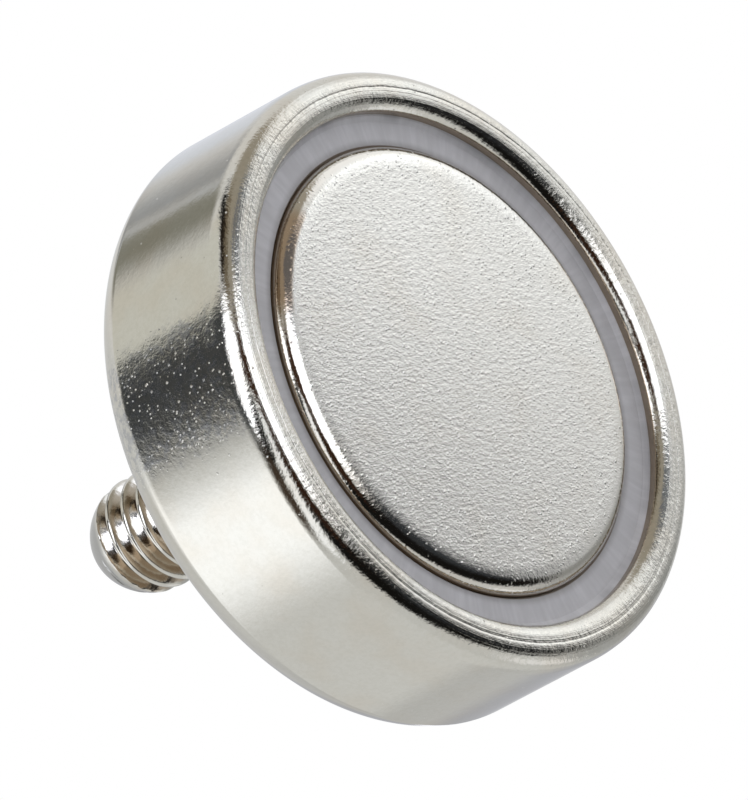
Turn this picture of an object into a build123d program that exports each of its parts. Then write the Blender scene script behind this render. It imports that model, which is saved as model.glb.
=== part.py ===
from build123d import *
import os
from math import acos, cos, degrees, radians, sin

# Pot magnet with an external thread: a round steel cup holds a disc magnet, with a
# plastic ring between the two, and a threaded stud stands out of the cup's back.
#
# Millimetres. The origin is the middle of the cup's back face, where the stud leaves
# it. +Z is the way the magnet faces, so the stud points along -Z.
#
# An edge is a chain of tangent arcs, (radius, turn in degrees), listed from the round
# wall up to the flat face. The last turn is what is left of the quarter circle.

# Disc magnet, a little below the rim
magnet_diameter = 14.95
magnet_recess = 0.26            # rim to magnet face
magnet_side_radius = 0.13       # tumbled edge: tight at the side ...
magnet_side_turn = 37.0
magnet_shoulder_radius = 0.48
magnet_shoulder_turn = 19.7
magnet_face_radius = 0.66       # ... and soft towards the face

# Plastic ring that centres the magnet
ring_clearance = 0.10           # radial gap between magnet and ring
ring_width = 1.0                # fills the rest of the cup's bore
ring_recess = 0.64              # rim to the ring's top

# Steel cup
cup_wall = 1.425
cup_floor = 1.8
cup_height = 6.8
back_corner_radius = 0.65       # the wall breaks over at the back ...
back_corner_turn = 18.0
back_edge_radius = 2.18         # ... into the round towards the back face
rim_shoulder_radius = 1.7       # the wall leans in gently below the rim ...
rim_shoulder_turn = 12.0
rim_edge_radius = 0.63          # ... into the rim's round outer edge
mouth_wall_radius = 0.19        # inner edge of the rim, tight against the bore ...
mouth_wall_turn = 37.0
mouth_lip_radius = 0.56         # ... then opening out to the flat land

# M4 stud: the crests of its thread, and the plain spigot pressed into the cup
stud_diameter = 3.8
stud_length = 9.3               # cup's back face to the stud's tip
stud_end_radius = 2.3           # rounded end
stud_tip_diameter = 1.4         # flat left in the middle of the end
spigot_diameter = 4.4

# Radii that follow from the sizes above
magnet_radius = magnet_diameter / 2
ring_radius = magnet_radius + ring_clearance
bore_radius = ring_radius + ring_width
cup_radius = bore_radius + cup_wall         # 10.0, a cup 20 mm across
crest_radius = stud_diameter / 2
spigot_radius = spigot_diameter / 2


def quarter_turn(*arcs, last_radius):
    """A whole quarter circle of edge: the given arcs, then one for the turn left over."""
    turned = sum(turn for _, turn in arcs)
    return [*arcs, (last_radius, 90.0 - turned)]


def edge_size(arcs):
    """Radial width and axial height that an edge takes off its corner."""
    width = height = angle = 0.0
    for radius, turn in arcs:
        start, end = radians(angle), radians(angle + turn)
        width += radius * (cos(start) - cos(end))
        height += radius * (sin(end) - sin(start))
        angle += turn
    return width, height


def draw_edge(start, direction, arcs, side):
    """Draw an edge from start; side is 1 to turn left and -1 to turn right."""
    for radius, turn in arcs:
        arc = JernArc(start, direction, radius, side * turn)
        start, direction = arc @ 1, arc % 1
    return start


back_edge = quarter_turn((back_corner_radius, back_corner_turn), last_radius=back_edge_radius)
rim_edge = quarter_turn((rim_shoulder_radius, rim_shoulder_turn), last_radius=rim_edge_radius)
mouth_edge = quarter_turn((mouth_wall_radius, mouth_wall_turn), last_radius=mouth_lip_radius)
magnet_edge = quarter_turn(
    (magnet_side_radius, magnet_side_turn),
    (magnet_shoulder_radius, magnet_shoulder_turn),
    last_radius=magnet_face_radius,
)


def turned(profile):
    """Solid of revolution about Z from a profile drawn in the XZ plane."""
    return revolve(profile.sketch, axis=Axis.Z)


def steel_cup():
    """Cup with a bored floor; its wall is rounded at the back, the rim and the mouth."""
    back_width, _ = edge_size(back_edge)
    _, rim_height = edge_size(rim_edge)
    mouth_width, _ = edge_size(mouth_edge)
    with BuildSketch(Plane.XZ) as profile:
        with BuildLine():
            back_start = (cup_radius - back_width, 0)
            Line((spigot_radius, 0), back_start)
            back_end = draw_edge(back_start, (1, 0), back_edge[::-1], 1)
            rim_start = (cup_radius, cup_height - rim_height)
            Line(back_end, rim_start)
            rim_end = draw_edge(rim_start, (0, 1), rim_edge, 1)
            mouth_start = (bore_radius + mouth_width, cup_height)
            Line(rim_end, mouth_start)
            mouth_end = draw_edge(mouth_start, (-1, 0), mouth_edge[::-1], 1)
            Polyline(
                mouth_end, (bore_radius, cup_floor), (spigot_radius, cup_floor), (spigot_radius, 0)
            )
        make_face()
    return turned(profile)


def disc_magnet():
    """Disc that sits on the cup's floor, with a soft edge around its face."""
    top = cup_height - magnet_recess
    _, edge_height = edge_size(magnet_edge)
    edge_start = (magnet_radius, top - edge_height)
    with BuildSketch(Plane.XZ) as profile:
        with BuildLine():
            Polyline((0, top), (0, cup_floor), (magnet_radius, cup_floor), edge_start)
            face_start = draw_edge(edge_start, (0, 1), magnet_edge, 1)
            Line(face_start, (0, top))
        make_face()
    return turned(profile)


def spacer_ring():
    """Ring that fills the cup's bore around the magnet, up to its own level."""
    height = cup_height - ring_recess - cup_floor
    with BuildSketch(Plane.XZ) as profile:
        with Locations((ring_radius, cup_floor)):
            Rectangle(ring_width, height, align=(Align.MIN, Align.MIN))
    return turned(profile)


def threaded_stud():
    """Stud at its crest diameter, with a rounded end and a spigot flush with the cup's back."""
    end_turn = acos(1 - (crest_radius - stud_tip_diameter / 2) / stud_end_radius)
    end_start = (crest_radius, -stud_length + stud_end_radius * sin(end_turn))
    rounded_end = [(stud_end_radius, degrees(end_turn))]
    with BuildSketch(Plane.XZ) as profile:
        with BuildLine():
            Polyline(
                (0, -stud_length), (0, cup_floor), (spigot_radius, cup_floor),
                (spigot_radius, 0), (crest_radius, 0), end_start,
            )
            tip_start = draw_edge(end_start, (0, -1), rounded_end, -1)
            Line(tip_start, (0, -stud_length))
        make_face()
    return turned(profile)


os.makedirs("parts", exist_ok=True)
export_step(steel_cup(), "parts/steel_cup.step")
export_step(disc_magnet(), "parts/disc_magnet.step")
export_step(spacer_ring(), "parts/spacer_ring.step")
export_step(threaded_stud(), "parts/threaded_stud.step")
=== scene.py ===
from functools import reduce
from math import acos, atan2, cos, degrees, hypot, pi, radians, sin, tan

import bpy
import numpy as np
from mathutils import Matrix, Vector


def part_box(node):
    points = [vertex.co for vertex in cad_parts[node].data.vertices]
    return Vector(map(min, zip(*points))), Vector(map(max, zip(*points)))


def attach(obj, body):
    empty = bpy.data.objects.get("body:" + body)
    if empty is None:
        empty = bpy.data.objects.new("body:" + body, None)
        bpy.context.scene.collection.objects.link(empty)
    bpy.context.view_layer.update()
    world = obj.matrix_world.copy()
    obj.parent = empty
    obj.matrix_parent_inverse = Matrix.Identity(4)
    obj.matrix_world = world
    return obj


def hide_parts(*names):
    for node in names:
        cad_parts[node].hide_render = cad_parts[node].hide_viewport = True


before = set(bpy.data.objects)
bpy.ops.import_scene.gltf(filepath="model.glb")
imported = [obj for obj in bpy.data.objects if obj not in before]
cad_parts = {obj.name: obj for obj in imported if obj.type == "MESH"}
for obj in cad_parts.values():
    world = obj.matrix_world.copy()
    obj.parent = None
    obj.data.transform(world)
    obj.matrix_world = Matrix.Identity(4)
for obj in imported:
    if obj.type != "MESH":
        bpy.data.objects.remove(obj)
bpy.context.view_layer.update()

# Pot magnet, dressed: a nickel-plated steel cup, a nickel-plated disc magnet, a milky
# plastic ring and a nickel-plated M4 stud with its thread. Everything is turned about Z.

MM = 0.001

# ---------------------------------------------------------------- camera
# A long lens, turned on its side. The rim's centre lies right of the middle and above it.
PICTURE_HEIGHT = 800
FOCAL_PIXELS = 18203
CAMERA_ELEVATION = radians(38.52)
CAMERA_ROLL = radians(61.51)
RIM_CENTRE_AHEAD = 563.1 * MM
RIM_CENTRE_RIGHT = 2.76 * MM
RIM_CENTRE_UP = 1.12 * MM

level_up = Vector((0, sin(CAMERA_ELEVATION), cos(CAMERA_ELEVATION)))
camera_ahead = Vector((0, cos(CAMERA_ELEVATION), -sin(CAMERA_ELEVATION)))
camera_right = Vector((1, 0, 0)) * cos(CAMERA_ROLL) + level_up * sin(CAMERA_ROLL)
camera_up = level_up * cos(CAMERA_ROLL) - Vector((1, 0, 0)) * sin(CAMERA_ROLL)


def add_camera(rim_centre):
    """Camera at the photograph's viewing angle."""
    data = bpy.data.cameras.new("camera")
    data.sensor_fit = "AUTO"
    data.lens = data.sensor_width * FOCAL_PIXELS / PICTURE_HEIGHT
    data.clip_start, data.clip_end = 0.01, 20
    camera = bpy.data.objects.new("camera", data)
    camera.matrix_world = Matrix((camera_right, camera_up, -camera_ahead)).transposed().to_4x4()
    camera.location = (
        rim_centre - camera_right * RIM_CENTRE_RIGHT - camera_up * RIM_CENTRE_UP
        - camera_ahead * RIM_CENTRE_AHEAD
    )
    bpy.context.scene.collection.objects.link(camera)
    bpy.context.scene.camera = camera


# ---------------------------------------------------------------- node helpers
class Graph:
    """Short calls for building a shader's node tree."""

    def __init__(self, tree):
        self.tree = tree
        tree.nodes.clear()

    def node(self, kind, *inputs, **settings):
        made = self.tree.nodes.new(kind)
        for key, value in settings.items():
            setattr(made, key, value)
        for socket, value in zip(made.inputs, inputs):
            self.feed(socket, value)
        return made

    def feed(self, socket, value):
        if isinstance(value, bpy.types.NodeSocket):
            self.tree.links.new(value, socket)
        elif value is not None:
            socket.default_value = value

    def math(self, operation, *inputs):
        return self.node("ShaderNodeMath", *inputs, operation=operation).outputs[0]

    def add(self, *terms):
        return reduce(lambda a, b: self.math("ADD", a, b), terms)

    def multiply(self, *factors):
        return reduce(lambda a, b: self.math("MULTIPLY", a, b), factors)

    def vector(self, operation, *inputs):
        return self.node("ShaderNodeVectorMath", *inputs, operation=operation)

    def dot(self, vector, axis):
        return self.vector("DOT_PRODUCT", vector, axis).outputs["Value"]

    def xyz(self, x, y, z):
        return self.node("ShaderNodeCombineXYZ", x, y, z).outputs[0]

    def step(self, value, start, end, low=0.0, high=1.0):
        """Smooth step from low at start to high at end."""
        return self.node(
            "ShaderNodeMapRange", value, start, end, low, high, interpolation_type="SMOOTHSTEP"
        ).outputs[0]

    def noise(self, place, scale, detail=2.0, roughness=0.5):
        """Noise from 0 to 1. The scale is in lumps per millimetre where the place is in mm."""
        made = self.node("ShaderNodeTexNoise", place, noise_dimensions="3D")
        for name, value in (("Scale", scale), ("Detail", detail), ("Roughness", roughness)):
            self.feed(made.inputs[name], value)
        return made.outputs["Fac"]

    def mix(self, factor, a, b):
        """Colour a, turned into colour b as the factor rises."""
        made = self.node("ShaderNodeMix", data_type="RGBA")
        self.feed(made.inputs["Factor"], factor)
        for name, value in (("A", a), ("B", b)):
            socket = next(s for s in made.inputs if s.name == name and s.type == "RGBA")
            self.feed(socket, value if isinstance(value, bpy.types.NodeSocket) else (*value, 1.0))
        return next(s for s in made.outputs if s.type == "RGBA")


# ---------------------------------------------------------------- studio light
# The studio is drawn as seen from the part: azimuth in degrees about the table's normal,
# 0 towards the camera, and elevation above the table. Each patch is a convex outline with
# blurred edges, laid over the ones before it; 999 stands for as far as it goes.
TABLE_UP = Vector((-0.858, 0.119, 0.500)).normalized()
NICKEL = (0.65, 0.642, 0.59)
SEAM = -150             # azimuth where the studio's outlines start over
DOME_RADIUS = 1.5
DOME_STEP = 1           # degrees


def linear(level):
    """Linear light of an 8-bit sRGB level."""
    level /= 255
    return level / 12.92 if level <= 0.04045 else ((level + 0.055) / 1.055) ** 2.4


def mirrored(red, green=None, blue=None, boost=1.0):
    """Light that nickel mirrors as this 8-bit colour."""
    green = red if green is None else green
    blue = red if blue is None else blue
    return tuple(boost * linear(c) / n for c, n in zip((red, green, blue), NICKEL))


TABLE_LIGHT = mirrored(185, 184, 177)
STUDIO = (
    # what it is, its light, blur of its edges in degrees (one, or one an edge), and its
    # corners (azimuth, elevation), counter-clockwise
    ("room", mirrored(198, 196, 189), 10, ((-999, -4), (999, -4), (999, 99), (-999, 99))),
    ("bright wall, left", mirrored(234, 234, 229), 10,
     ((-165, 14), (-115, 20), (-111, 32), (-115, 56), (-165, 60))),
    ("ceiling", mirrored(140, 133, 118), 8, ((-999, 59), (999, 59), (999, 120), (-999, 120))),
    ("dark ceiling", mirrored(102, 92, 75), 8, ((10, 56), (108, 52), (122, 80), (10, 80))),
    ("table, left", mirrored(152, 152, 147), 24, ((-150, -40), (-100, -40), (-100, 4), (-150, 4))),
    ("table, foot", mirrored(170, 169, 164), 8,
     ((-122, -6), (-102, -6), (-104, 21), (-116, 18), (-128, 8))),
    ("lit card", mirrored(254, 254, 248, boost=1.15), 9,
     ((-136, 26.5), (-107, 26.5), (-99, 31), (-99, 35), (-136, 35))),
    ("shade, left", mirrored(128, 128, 123), 12,
     ((-146, -16), (-104, -12), (-106, 8), (-146, -4))),
    ("grey flag", mirrored(98, 101, 103), 8,
     ((-104, 30), (-60, 58), (-60, 78), (-95, 74), (-104, 56))),
    ("far table", mirrored(172, 171, 165), 28,
     ((138, -78), (214, -78), (214, -24), (186, -14), (150, -12))),
    ("far table, top", mirrored(153, 153, 152), 14,
     ((168, -40), (214, -40), (214, -18), (168, -18))),
    ("near table", mirrored(191, 190, 183), 12,
     ((-999, -99), (999, -99), (999, -64), (-999, -64))),
    ("back wall", mirrored(188, 190, 190), 12,
     ((160, 4), (180, -16), (184, -12), (178, 14), (168, 20))),
    ("grey wall, right", mirrored(188, 186, 174), 10,
     ((96, 8), (110, -2), (122, 6), (122, 34), (104, 48), (82, 46), (84, 28))),
    ("olive corner", mirrored(121, 119, 107), 13,
     ((121, 16), (132, 6), (158, 2), (146, 21), (132, 31))),
    ("grey corner", mirrored(141, 142, 140), (8, 24, 8, 3),
     ((145, 6), (157, 2), (157, 26), (145, 26))),
    ("streak", mirrored(164, 164, 160), 2, ((141, 8), (144.5, 6), (144.5, 27), (141, 27))),
    ("dark flag, right", mirrored(36, 30, 23), 7, ((54, 50), (104, 50), (104, 70), (54, 70))),
    ("dark blob", mirrored(22, 21, 19), 6, ((96, 54), (122, 36), (129, 36), (126, 54), (104, 68))),
    ("dark band, right", mirrored(60, 61, 60), (18, 14, 6, 6, 6, 6),
     ((58, -13), (74, -12), (108, -3), (101, 12), (80, 33), (60, 52))),
    ("dark diagonal", mirrored(26, 25, 22), 8,
     ((4, 30), (16, 10), (34, -12), (52, -20), (62, -14), (56, -5), (12, 38))),
    ("dark tail", mirrored(60, 50, 40), 12,
     ((34, -8), (38, -34), (48, -44), (56, -34), (58, -12))),
    ("dark band, left", mirrored(18, 17, 15), 8,
     ((-103, 22), (-105, -8), (-84, -16), (-50, -27), (0, -29), (4, -5), (-60, 19.5), (-92, 28))),
    ("grey sheen", mirrored(44, 46, 47), 8,
     ((-106, 22), (-100, 9), (-62, 6), (-62, 19.5), (-92, 27))),
    ("brown wall", mirrored(56, 40, 30), 10, ((-36, 30), (6, 28), (16, 44), (0, 58), (-30, 60))),
    ("camera stand", mirrored(46, 31, 21), 8, ((-38, 8), (-28, -2), (0, -2), (3, 30), (-34, 30))),
    ("white streak", mirrored(236, 236, 232), 7, ((-10, 30), (2, 2), (18, 2), (10, 26), (0, 34))),
    ("white streak, low", mirrored(240, 240, 236), 8,
     ((2, 4), (6, -20), (20, -42), (40, -42), (34, -24), (16, 4))),
    ("left softbox", mirrored(254, boost=1.6), 5,
     ((-99, 30.5), (-90, 28.5), (-60, 24), (-38, 17), (-34, 34), (-35, 56), (-60, 58), (-73, 50))),
    ("slit", mirrored(84, 84, 90), 2, ((-107, 20), (-103, 20), (-103, 32), (-107, 32))),
    ("right softbox", mirrored(254, boost=1.6), 4,
     ((54, -6), (62, -1), (73, 20), (71, 30), (60, 43), (44, 49), (16, 50), (14, 45), (46, 3))),
    ("lit table", mirrored(252, 252, 247), (26, 20, 18, 6),
     ((56, -54), (108, -54), (114, -21), (62, -21))),
    ("left table glow", mirrored(214, 212, 206), 6,
     ((-124, -40), (-92, -52), (-84, -40), (-86, -28), (-100, -28))),
    ("lit edge", mirrored(224, 220, 210), 3,
     ((97, 11), (112, -4), (128, -11), (127, -7), (112, 1), (100, 12))),
    ("spot behind", mirrored(242), 2, ((180, -15), (181, -30), (187, -43), (184, -27))),
)


def studio_light(azimuth, elevation):
    """Light that comes from each direction, for arrays of degrees."""
    light = np.ones((*azimuth.shape, 3)) * TABLE_LIGHT
    for _, colour, blur, corners in STUDIO:
        blurs = blur if isinstance(blur, tuple) else (blur,) * len(corners)
        inside = np.ones(azimuth.shape)
        for (x, y), (next_x, next_y), soft in zip(corners, corners[1:] + corners[:1], blurs):
            across, up = next_x - x, next_y - y
            distance = (across * (elevation - y) - up * (azimuth - x)) / hypot(across, up)
            share = np.clip(distance / soft + 0.5, 0, 1)
            inside *= share * share * (3 - 2 * share)
        light += inside[..., None] * (np.array(colour) - light)
    return light


def light_studio():
    """Dome of light around the part. The camera doesn't see it, and behind it all is white."""
    towards_camera = (TABLE_UP * camera_ahead.dot(TABLE_UP) - camera_ahead).normalized()
    across = towards_camera.cross(TABLE_UP)
    columns = np.arange(SEAM, SEAM + 360, DOME_STEP, dtype=float)
    rows = np.arange(-90 + DOME_STEP / 2, 90, DOME_STEP)
    azimuth, elevation = (grid.ravel() for grid in np.meshgrid(columns, rows))
    azimuth, elevation = np.append(azimuth, (SEAM, SEAM)), np.append(elevation, (-90.0, 90.0))
    round_angle, up_angle = np.radians(azimuth), np.radians(elevation)
    places = DOME_RADIUS * (
        np.outer(np.cos(up_angle) * np.cos(round_angle), towards_camera)
        + np.outer(np.cos(up_angle) * np.sin(round_angle), across)
        + np.outer(np.sin(up_angle), TABLE_UP)
    )
    count, last = len(columns), len(columns) * (len(rows) - 1)
    low_pole, high_pole = len(places) - 2, len(places) - 1
    faces = []
    for i in range(count):
        j = (i + 1) % count
        faces.append((low_pole, j, i))
        faces.append((high_pole, last + i, last + j))
        faces.extend((k + i, k + j, k + count + j, k + count + i) for k in range(0, last, count))
    mesh = bpy.data.meshes.new("light dome")
    mesh.from_pydata(places.tolist(), [], faces)
    colours = np.column_stack([studio_light(azimuth, elevation), np.ones(len(places))])
    mesh.color_attributes.new("light", "FLOAT_COLOR", "POINT").data.foreach_set(
        "color", colours.astype(np.float32).ravel()
    )
    dome = bpy.data.objects.new("light_dome", mesh)
    dome.visible_camera = False
    bpy.context.scene.collection.objects.link(dome)
    material = bpy.data.materials.new("light dome")
    material.use_nodes = True
    material.cycles.emission_sampling = "NONE"
    g = Graph(material.node_tree)
    light = g.node("ShaderNodeEmission")
    drawn = g.node("ShaderNodeVertexColor", layer_name="light")
    g.feed(light.inputs["Color"], drawn.outputs["Color"])
    g.node("ShaderNodeOutputMaterial", light.outputs[0])
    mesh.materials.append(material)

    world = bpy.data.worlds.new("white")
    bpy.context.scene.world = world
    world.use_nodes = True
    g = Graph(world.node_tree)
    g.node("ShaderNodeOutputWorld", g.node("ShaderNodeBackground", (1, 1, 1, 1), 1.0).outputs[0])


def add_floor(height):
    """Plain white floor under the stud's tip. The plating mirrors the studio, not the floor."""
    bpy.ops.mesh.primitive_plane_add(size=4, location=(0, 0, height))
    floor = bpy.context.object
    floor.name = "floor"
    floor.visible_glossy = floor.visible_diffuse = floor.visible_shadow = False
    material = bpy.data.materials.new("floor")
    material.use_nodes = True
    material.cycles.emission_sampling = "NONE"
    g = Graph(material.node_tree)
    g.node("ShaderNodeOutputMaterial", g.node("ShaderNodeEmission", (1, 1, 1, 1), 1.0).outputs[0])
    floor.data.materials.append(material)


# ---------------------------------------------------------------- sizes, in mm
CUP_HEIGHT = 6.8
CUP_RADIUS = 10.0
BORE_RADIUS = 8.575
CUP_FLOOR = 1.8
SPIGOT_RADIUS = 2.2
# An edge is a chain of tangent arcs, (radius, turn in degrees), from the wall to the face.
BACK_EDGE = ((0.65, 18.0), (2.18, 72.0))
RIM_EDGE = ((1.7, 12.0), (0.63, 78.0))
MOUTH_EDGE = ((0.19, 37.0), (0.56, 53.0))
LAND_LEAN = 1.5         # degrees that the rim's flat land falls outward

MAGNET_RADIUS = 7.5
MAGNET_TOP = CUP_HEIGHT - 0.125
MAGNET_EDGE = ((0.24, 28.0), (0.47, 28.0), (0.70, 27.0), (4.0, 7.0))
FACE_CROWN = 1.5        # degrees that the magnet's face leans at its edge

RING_INNER, RING_OUTER = 7.51, BORE_RADIUS
RING_TOP = CUP_HEIGHT - 0.64
RING_BEVEL = 0.07       # broken inner edge, beside the magnet
RING_LIP = 0.12         # the plastic creeps up the bore ...
RING_LIP_TOP = 0.06     # ... in a lip this thick at its top
RING_LIP_FOOT = 0.2     # ... and this thick at its foot

CREST_RADIUS = 1.9
STUD_LENGTH = 9.3
STUD_END_RADIUS = 2.3
STUD_TIP_RADIUS = 0.7
THREAD_PITCH = 0.7
CREST_WIDTH = THREAD_PITCH / 5
ROOT_WIDTH = THREAD_PITCH / 8
FLANK_WIDTH = (THREAD_PITCH - CREST_WIDTH - ROOT_WIDTH) / 2
THREAD_DEPTH = FLANK_WIDTH / tan(radians(30))
THREAD_ROUNDING = 0.15  # softness of its corners, as a share of a flank
THREAD_START = -8.7     # the thread deepens from here ...
THREAD_FULL = -8.2      # ... to here
THREAD_ROW = 0.022      # height of one row of the thread's mesh

ROUND_STEPS = 360
STUD_STEPS = 180
STUD_END_STEPS = 90
ARC_STEP = 2.0          # degrees of turn from one row of an edge to the next
THREAD_CREASE = radians(40)


# ---------------------------------------------------------------- turned pieces
class Outline:
    """Half section of a turned piece, drawn in (r, z) with the metal on its left.

    Each span between two rows keeps which way the surface faces at its start and end.
    """

    def __init__(self, r, z):
        self.rows = [(r, z)]
        self.facing = []

    def line(self, r, z, steps=1):
        start_r, start_z = self.rows[-1]
        facing = atan2(z - start_z, r - start_r) - pi / 2
        for k in range(1, steps + 1):
            share = k / steps
            self.rows.append((start_r + (r - start_r) * share, start_z + (z - start_z) * share))
            self.facing.append((facing, facing))

    def edge(self, heading, arcs, steps=None):
        """Chain of tangent arcs that turns left from a heading in degrees."""
        heading = radians(heading)
        for radius, turn in arcs:
            count = steps or max(4, round(turn / ARC_STEP))
            start_r, start_z = self.rows[-1]
            middle = (start_r - radius * sin(heading), start_z + radius * cos(heading))
            for k in range(count):
                before = heading + radians(turn) * k / count
                after = heading + radians(turn) * (k + 1) / count
                self.rows.append((middle[0] + radius * sin(after), middle[1] - radius * cos(after)))
                self.facing.append((before - pi / 2, after - pi / 2))
            heading += radians(turn)


def edge_size(arcs):
    """Radial width and axial height that an edge takes off its corner."""
    width = height = angle = 0.0
    for radius, turn in arcs:
        start, end = radians(angle), radians(angle + turn)
        width += radius * (cos(start) - cos(end))
        height += radius * (sin(end) - sin(start))
        angle += turn
    return width, height


def turn_piece(name, outline, reshape=None, steps=ROUND_STEPS):
    """Mesh of a turned piece. reshape(r, z, angles) gives a row's radii where it isn't round."""
    rows = outline.rows
    closed = rows[0] == rows[-1]
    count = len(rows) - 1 if closed else len(rows)
    angles = np.arange(steps) * 2 * pi / steps
    vertices, first = [], []
    for k in range(count):
        r, z = rows[k]
        first.append(len(vertices))
        if r == 0:
            vertices.append((0, 0, z * MM))
            continue
        radii = np.full(steps, r) if reshape is None else reshape(r, z, angles)
        vertices.extend(
            (x * MM, y * MM, z * MM) for x, y in zip(radii * np.cos(angles), radii * np.sin(angles))
        )
    faces, normals = [], []
    around = [(cos(a), sin(a)) for a in angles]
    for k, (start, end) in enumerate(outline.facing):
        low, high = first[k], first[(k + 1) % count]
        flat_low, flat_high = rows[k][0] == 0, rows[(k + 1) % count][0] == 0
        for i in range(steps):
            j = (i + 1) % steps
            if flat_low:
                corners = ((low, i, start), (high + j, j, end), (high + i, i, end))
            elif flat_high:
                corners = ((low + i, i, start), (low + j, j, start), (high, i, end))
            else:
                corners = (
                    (low + i, i, start), (low + j, j, start), (high + j, j, end), (high + i, i, end)
                )
            faces.append([c[0] for c in corners])
            normals.extend(
                (cos(f) * around[a][0], cos(f) * around[a][1], sin(f)) for _, a, f in corners
            )
    mesh = bpy.data.meshes.new(name)
    mesh.from_pydata(vertices, [], faces)
    mesh.shade_smooth()
    if reshape is None:
        mesh.normals_split_custom_set(normals)
    else:
        mesh.set_sharp_from_angle(angle=THREAD_CREASE)
    mesh.update()
    piece = bpy.data.objects.new(name, mesh)
    bpy.context.scene.collection.objects.link(piece)
    return piece


def make_cup():
    """Cup with a bored floor, from its back round the wall and the rim into the bore."""
    back_width, _ = edge_size(BACK_EDGE)
    rim_edge = (RIM_EDGE[0], (RIM_EDGE[1][0], RIM_EDGE[1][1] - LAND_LEAN))
    rim_width, rim_height = edge_size(rim_edge)
    mouth_width, _ = edge_size(MOUTH_EDGE)
    land_width = CUP_RADIUS - rim_width - BORE_RADIUS - mouth_width
    rim_height += land_width * tan(radians(LAND_LEAN))
    outline = Outline(SPIGOT_RADIUS, 0)
    outline.line(CUP_RADIUS - back_width, 0)
    outline.edge(0, BACK_EDGE[::-1])
    outline.line(CUP_RADIUS, CUP_HEIGHT - rim_height)
    outline.edge(90, rim_edge)
    outline.line(BORE_RADIUS + mouth_width, CUP_HEIGHT)
    outline.edge(180, MOUTH_EDGE[::-1])
    outline.line(BORE_RADIUS, CUP_FLOOR)
    outline.line(SPIGOT_RADIUS, CUP_FLOOR)
    outline.line(SPIGOT_RADIUS, 0)
    return turn_piece("cup", outline)


def make_magnet():
    """Disc with a soft edge; its face swells a hair towards the middle."""
    edge = (*MAGNET_EDGE[:-1], (MAGNET_EDGE[-1][0], MAGNET_EDGE[-1][1] - FACE_CROWN))
    edge_width, _ = edge_size(edge)
    face_radius = (MAGNET_RADIUS - edge_width) / sin(radians(FACE_CROWN))
    edge = (*edge, (face_radius, FACE_CROWN))
    _, edge_height = edge_size(edge)
    outline = Outline(0, CUP_FLOOR)
    outline.line(MAGNET_RADIUS, CUP_FLOOR)
    outline.line(MAGNET_RADIUS, MAGNET_TOP - edge_height)
    outline.edge(90, edge)
    outline.rows[-1] = (0, outline.rows[-1][1])
    return turn_piece("magnet", outline)


def make_ring():
    """Ring beside the magnet, with a thin lip up the cup's bore."""
    outline = Outline(RING_INNER, CUP_FLOOR)
    outline.line(RING_OUTER, CUP_FLOOR)
    outline.line(RING_OUTER, RING_TOP + RING_LIP)
    outline.line(RING_OUTER - RING_LIP_TOP, RING_TOP + RING_LIP * 0.8)
    outline.line(RING_OUTER - RING_LIP_FOOT, RING_TOP)
    outline.line(RING_INNER + RING_BEVEL, RING_TOP)
    outline.line(RING_INNER, RING_TOP - RING_BEVEL)
    outline.line(RING_INNER, CUP_FLOOR)
    return turn_piece("ring", outline)


def ramp(value, softness):
    """0 below 0, 1 above 1, with both corners rounded."""
    return 0.5 * (1 + np.hypot(value, softness) - np.hypot(1 - value, softness))


def thread_radius(z, angles):
    """Radius of the right-hand M4 thread: flat-topped crests, straight flanks, round roots."""
    turns = z / THREAD_PITCH - 0.5 - (angles + pi / 2) / (2 * pi)
    from_crest = np.abs(turns - np.round(turns)) * THREAD_PITCH
    flank = (from_crest - CREST_WIDTH / 2) / FLANK_WIDTH
    fade = np.clip((z - THREAD_START) / (THREAD_FULL - THREAD_START), 0, 1)
    return CREST_RADIUS - THREAD_DEPTH * fade * ramp(flank, THREAD_ROUNDING)


def make_stud():
    """Stud with a rounded end, a rolled thread, and a spigot in the cup's floor."""
    end_turn = degrees(acos(1 - (CREST_RADIUS - STUD_TIP_RADIUS) / STUD_END_RADIUS))
    end_height = STUD_END_RADIUS * sin(radians(end_turn))
    outline = Outline(0, -STUD_LENGTH)
    outline.line(STUD_TIP_RADIUS, -STUD_LENGTH)
    outline.edge(90 - end_turn, ((STUD_END_RADIUS, end_turn),), steps=STUD_END_STEPS)
    outline.line(CREST_RADIUS, 0, steps=round((STUD_LENGTH - end_height) / THREAD_ROW))
    outline.line(SPIGOT_RADIUS, 0)
    outline.line(SPIGOT_RADIUS, CUP_FLOOR)
    outline.line(0, CUP_FLOOR)

    def threaded(r, z, angles):
        cut = r <= CREST_RADIUS and -STUD_LENGTH < z < 0
        return np.minimum(r, thread_radius(z, angles)) if cut else np.full(len(angles), r)

    return turn_piece("stud", outline, threaded, steps=STUD_STEPS)


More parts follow.
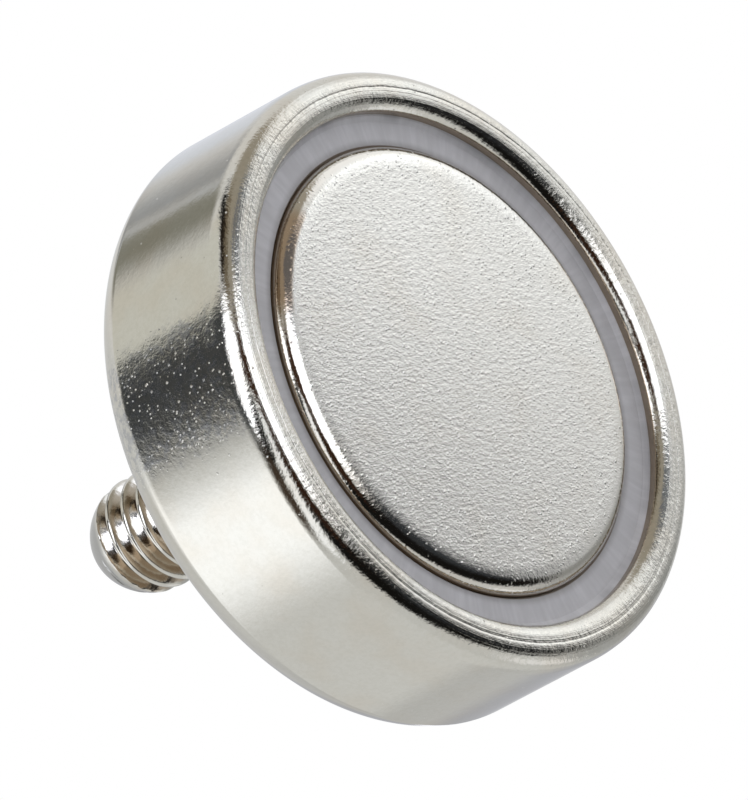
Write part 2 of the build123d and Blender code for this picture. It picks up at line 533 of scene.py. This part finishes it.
# ---------------------------------------------------------------- materials
class Finish(Graph):
    """A material, with its surface's place in millimetres and the polar form of that."""

    def __init__(self, name):
        self.material = bpy.data.materials.new(name)
        self.material.use_nodes = True
        super().__init__(self.material.node_tree)
        here = self.node("ShaderNodeTexCoord").outputs["Object"]
        self.place = self.vector("MULTIPLY", here, (1 / MM, 1 / MM, 1 / MM)).outputs["Vector"]
        x, y, self.z = self.node("ShaderNodeSeparateXYZ", self.place).outputs
        flat = self.xyz(x, y, 0.0)
        self.radius = self.vector("LENGTH", flat).outputs["Value"]
        self.around = self.vector("NORMALIZE", flat).outputs["Vector"]

    def facing(self, side):
        """1 on the side of the piece that faces a direction round the axis, -1 opposite."""
        return self.dot(self.around, (cos(side), sin(side), 0))

    def rays(self, count, across):
        """Noise of count streaks around the axis, which change slowly along the radius."""
        x, y, _ = self.node("ShaderNodeSeparateXYZ", self.around).outputs
        turn = count / (2 * pi)
        place = self.xyz(
            self.multiply(x, turn), self.multiply(y, turn), self.multiply(self.radius, across)
        )
        return self.noise(place, 1.0)

    def signed(self, noise, size):
        """Noise as a height in millimetres, about zero."""
        return self.multiply(self.add(noise, -0.5), size)

    def pips(self, scale, share, size, height):
        """Sparse round pips of uneven height: size in cells, on a share of the cells."""
        cells = self.node("ShaderNodeTexVoronoi", self.place)
        self.feed(cells.inputs["Scale"], scale)
        chosen = self.node("ShaderNodeSeparateColor", cells.outputs["Color"]).outputs[0]
        dot = self.step(cells.outputs["Distance"], 0.0, size, height, 0.0)
        return self.multiply(dot, self.math("LESS_THAN", chosen, share), chosen, 2 / share)

    def finish(self, colour, roughness, height, metallic=1.0):
        """The finished material: its height, in millimetres, becomes a bump."""
        shader = self.node("ShaderNodeBsdfPrincipled")
        bump = self.node("ShaderNodeBump")
        self.feed(bump.inputs["Height"], height)
        bump.inputs["Distance"].default_value = MM
        self.feed(shader.inputs["Base Color"], colour)
        self.feed(shader.inputs["Roughness"], roughness)
        shader.inputs["Metallic"].default_value = metallic
        self.feed(shader.inputs["Normal"], bump.outputs["Normal"])
        self.node("ShaderNodeOutputMaterial", shader.outputs[0])
        return self.material


WARM_NICKEL = (0.62, 0.58, 0.50)
DULL_NICKEL = (0.54, 0.53, 0.47)
GREY_NICKEL = (0.42, 0.43, 0.44)
# painted shade: brown for the cup's bore and for the magnet's side below the ring's top
GAP_SHADE_BROWN = (0.42, 0.35, 0.27)
GROOVE_RADIUS = 9.26            # a shallow turned groove runs round the rim's land
PITTED_SIDE = radians(-110)     # direction round the cup of the patch of pits on its wall


def cup_plating():
    """Bright nickel over turned steel: fine grain, a pitted patch, turning marks on the rim,
    painted shade in brown in the bore.
    """
    f = Finish("nickel on the cup")
    wall = f.step(f.z, CUP_HEIGHT - 0.5, CUP_HEIGHT - 1.0)
    rim = f.step(f.z, CUP_HEIGHT - 0.9, CUP_HEIGHT - 0.3)
    land = f.step(f.z, CUP_HEIGHT - 0.2, CUP_HEIGHT - 0.02)
    ragged = f.add(f.facing(PITTED_SIDE), f.signed(f.noise(f.place, 1.4, 3.0), 0.03))
    patch = f.multiply(wall, f.step(ragged, 0.972, 0.99))
    mottle = f.noise(f.place, 3.4, 4.0, 0.7)

    clouds = f.step(f.noise(f.place, 0.5, 3.0), 0.4, 0.7, 0.0, 0.6)
    colour = f.mix(clouds, NICKEL, WARM_NICKEL)
    blots = f.step(f.noise(f.place, 6.0, 3.0, 0.7), 0.35, 0.7, 0.0, 0.3)
    colour = f.mix(blots, colour, DULL_NICKEL)
    stain = f.multiply(patch, f.step(mottle, 0.42, 0.62, 0.0, 0.8))
    colour = f.mix(stain, colour, GREY_NICKEL)
    # painted shade: brown on every face inside the bore's radius, the bore, the cup's floor and its
    # back included
    colour = f.mix(f.step(f.radius, BORE_RADIUS + 0.035, BORE_RADIUS + 0.005), colour, GAP_SHADE_BROWN)

    grain = f.multiply(
        f.signed(f.noise(f.place, 9.0, 3.0, 0.6), 1.0),
        f.add(f.multiply(wall, 0.002), f.multiply(rim, 0.010), f.multiply(patch, 0.003)),
    )
    wander = f.add(f.radius, f.signed(f.noise(f.place, 1.3, 3.0), 0.05))
    turning = f.signed(f.noise(f.xyz(f.multiply(wander, 9.0), 0.0, 0.0), 1.0, 3.0, 0.7), 0.03)
    flecks = f.signed(f.rays(280, 8.0), 0.007)
    groove = f.step(f.math("ABSOLUTE", f.add(wander, -GROOVE_RADIUS)), 0.0, 0.08, -0.009, 0.0)
    height = f.add(
        grain,
        f.signed(f.noise(f.place, 1.6), 0.004),
        f.multiply(rim, f.signed(f.noise(f.place, 3.0), 0.012)),
        f.multiply(patch, f.signed(mottle, 0.014)),
        f.multiply(patch, f.pips(4.4, 0.3, 0.22, 0.028)),
        f.multiply(patch, f.pips(8.0, 0.4, 0.3, 0.012)),
        f.multiply(rim, f.pips(5.0, 0.3, 0.2, 0.01)),
        f.multiply(wall, f.pips(3.0, 0.12, 0.14, 0.006)),
        f.multiply(land, f.add(turning, flecks, groove)),
    )
    roughness = f.add(
        f.step(f.noise(f.place, 2.3, 3.0), 0.3, 0.8, 0.05, 0.11),
        f.multiply(patch, f.step(mottle, 0.3, 0.8, 0.0, 0.16)),
    )
    return f.finish(colour, roughness, height)


STAINED_SIDE = radians(-139)        # direction round the magnet of a brown stain on its edge
STROKES_ALONG = (0.477, 0.548, 0)   # measures a place on its face along the strokes ...
STROKES_ACROSS = (-0.879, 0.297, 0)  # ... and across them
FACE_NICKEL = (0.70, 0.695, 0.653)
# painted shade: darker nickel for the hollows of the face's strokes
HOLLOW_SHADE_NICKEL = (0.55, 0.545, 0.52)
EDGE_NICKEL = (0.60, 0.54, 0.45)
STAIN_NICKEL = (0.56, 0.44, 0.33)


def magnet_plating():
    """Nickel over a blasted magnet: a face of short wavy strokes with painted shade in their
    hollows, a smoother edge, painted shade in brown on its side below the ring's top.
    """
    f = Finish("nickel on the magnet")
    face = f.step(f.radius, MAGNET_RADIUS - 0.35, MAGNET_RADIUS - 0.65)
    along, across = f.dot(f.place, STROKES_ALONG), f.dot(f.place, STROKES_ACROSS)
    strokes = f.noise(f.xyz(f.multiply(along, 7.5), f.multiply(across, 9.0), f.z), 1.0, 3.0, 0.65)

    clouds = f.step(f.noise(f.place, 0.45, 3.0), 0.45, 0.75, 0.0, 0.25)
    colour = f.mix(clouds, FACE_NICKEL, WARM_NICKEL)
    # painted shade: the strokes' hollows are coloured darker
    hollow_shade = f.multiply(face, f.step(strokes, 0.5, 0.3, 0.0, 0.15))
    colour = f.mix(hollow_shade, colour, HOLLOW_SHADE_NICKEL)
    edge = f.step(f.radius, MAGNET_RADIUS - 0.5, MAGNET_RADIUS - 0.3, 0.0, 0.3)
    colour = f.mix(edge, colour, EDGE_NICKEL)
    stain = f.multiply(
        f.step(f.facing(STAINED_SIDE), 0.955, 0.98),
        f.step(f.radius, MAGNET_RADIUS - 0.55, MAGNET_RADIUS - 0.4, 0.0, 0.85),
    )
    colour = f.mix(stain, colour, STAIN_NICKEL)
    # painted shade: brown on the magnet's side below the ring's top, down in the gap by the ring
    colour = f.mix(f.step(f.z, CUP_HEIGHT - 0.5, CUP_HEIGHT - 0.56), colour, GAP_SHADE_BROWN)

    height = f.add(
        f.multiply(f.add(f.multiply(face, 0.55), 0.45), f.signed(strokes, 0.011)),
        f.multiply(f.add(f.multiply(face, 0.5), 0.5), f.pips(7.0, 0.6, 0.4, 0.008)),
        f.signed(f.noise(f.place, 9.0), 0.004),
    )
    blasted = f.multiply(face, f.step(f.noise(f.place, 5.0), 0.3, 0.8, 0.08, 0.16))
    return f.finish(colour, f.add(0.09, blasted), height)


MILKY = (0.54, 0.54, 0.552)
MILKY_LIGHT = (0.605, 0.605, 0.617)
MILKY_GREY = (0.49, 0.49, 0.495)
# painted shade: dark colour for the ring's corner beside the magnet
RING_CORNER_SHADE = (0.17, 0.16, 0.15)
# painted shade and painted reflection of the magnet's side: brown for the ring's bevel
RING_BEVEL_SHADE_BROWN = (0.24, 0.20, 0.16)
# painted shade: dark colour for the ring towards the bore
RING_BORE_SHADE = (0.17, 0.17, 0.18)


def ring_plastic():
    """Milky plastic with faint marks of its turning, with painted shade in the corner by the
    magnet, on its bevel and towards the bore.
    """
    f = Finish("milky plastic")
    streaks = f.rays(260, 0.6)
    colour = f.mix(f.step(streaks, 0.3, 0.75), MILKY, MILKY_LIGHT)
    clouds = f.step(f.noise(f.place, 1.1, 3.0), 0.35, 0.7, 0.0, 0.5)
    colour = f.mix(clouds, colour, MILKY_GREY)
    # painted shade: the ring darkens towards the magnet
    corner = f.step(f.radius, RING_INNER + 0.34, RING_INNER + 0.04, 0.0, 0.5)
    colour = f.mix(corner, colour, RING_CORNER_SHADE)
    # painted shade and painted reflection: brown on the bevel beside the magnet
    bevel = f.step(f.radius, RING_INNER + 0.08, RING_INNER + 0.05)
    colour = f.mix(bevel, colour, RING_BEVEL_SHADE_BROWN)
    # painted shade: the ring darkens in blotches towards the bore
    bore_shade = f.multiply(
        f.step(f.radius, RING_OUTER - 0.375, RING_OUTER - 0.025),
        f.step(f.noise(f.place, 0.35, 3.0), 0.4, 0.62, 0.0, 0.5),
    )
    colour = f.mix(bore_shade, colour, RING_BORE_SHADE)
    height = f.add(f.signed(streaks, 0.006), f.signed(f.noise(f.place, 9.0), 0.004))
    return f.finish(colour, 0.42, height, metallic=0.0)


HIGHLIT_SIDE = radians(-108)       # directions round the stud where the valleys take a painted highlight instead of their brown
SECOND_HIGHLIT_SIDE = radians(-168)
# painted shade and painted reflection: brown for the thread's valleys
STUD_VALLEY_SHADE_BROWN = (0.50, 0.43, 0.34)
STUD_TIP_GREY = (0.44, 0.44, 0.425)
# painted highlight: bright steel for the valleys on the highlit sides
HIGHLIGHT_STEEL = (0.9, 0.89, 0.87)


def stud_plating():
    """Nickel over a rolled thread: bright crests, painted shade and reflection in brown between
    them, a painted highlight in the valleys on some sides, small dents.
    """
    f = Finish("nickel on the stud")
    thread = f.step(f.z, THREAD_FULL + 0.1, THREAD_FULL + 0.4)
    tip = f.step(f.z, THREAD_FULL + 0.3, THREAD_FULL - 0.05)
    ragged = f.add(f.facing(HIGHLIT_SIDE), f.signed(f.noise(f.place, 2.0, 3.0), 0.1))
    # painted highlight: the sides of the stud where the valleys are coloured bright
    highlit = f.math(
        "MAXIMUM", f.step(ragged, 0.93, 0.97), f.step(f.facing(SECOND_HIGHLIT_SIDE), 0.85, 0.97)
    )
    # the valleys, below a ragged radius, get the painted brown shade and reflection
    valley_radius = f.add(f.radius, f.signed(f.noise(f.place, 4.0, 3.0), 0.12))
    valley_shade = f.multiply(thread, f.step(valley_radius, CREST_RADIUS - 0.06, CREST_RADIUS - 0.16))

    clouds = f.step(f.noise(f.place, 1.2, 3.0), 0.4, 0.75, 0.0, 0.5)
    colour = f.mix(clouds, NICKEL, WARM_NICKEL)
    colour = f.mix(tip, colour, STUD_TIP_GREY)
    colour = f.mix(valley_shade, colour, f.mix(highlit, STUD_VALLEY_SHADE_BROWN, HIGHLIGHT_STEEL))
    height = f.add(
        f.signed(f.noise(f.place, 6.0, 3.0, 0.6), 0.005),
        f.multiply(thread, f.signed(f.noise(f.place, 2.0), 0.012)),
    )
    roughness = f.step(f.noise(f.place, 3.0, 3.0), 0.3, 0.8, 0.08, 0.18)
    return f.finish(colour, roughness, height)


# ---------------------------------------------------------------- the dressed part
PIECES = (
    (make_cup, "steel_cup", "cup_plating", cup_plating()),
    (make_magnet, "disc_magnet", "magnet_plating", magnet_plating()),
    (make_ring, "spacer_ring", "ring_plastic", ring_plastic()),
    (make_stud, "threaded_stud", "stud_plating", stud_plating()),
)
for make, node, slot, material in PIECES:
    piece = make()
    piece.data.materials.append(material)
    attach(piece, "root")
    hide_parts(node)

_, cup_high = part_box("steel_cup")
stud_low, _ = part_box("threaded_stud")
add_camera(Vector((0, 0, cup_high.z)))
light_studio()
add_floor(stud_low.z)
bpy.context.scene.view_settings.view_transform = "Standard"
bpy.context.scene.view_settings.look = "None"
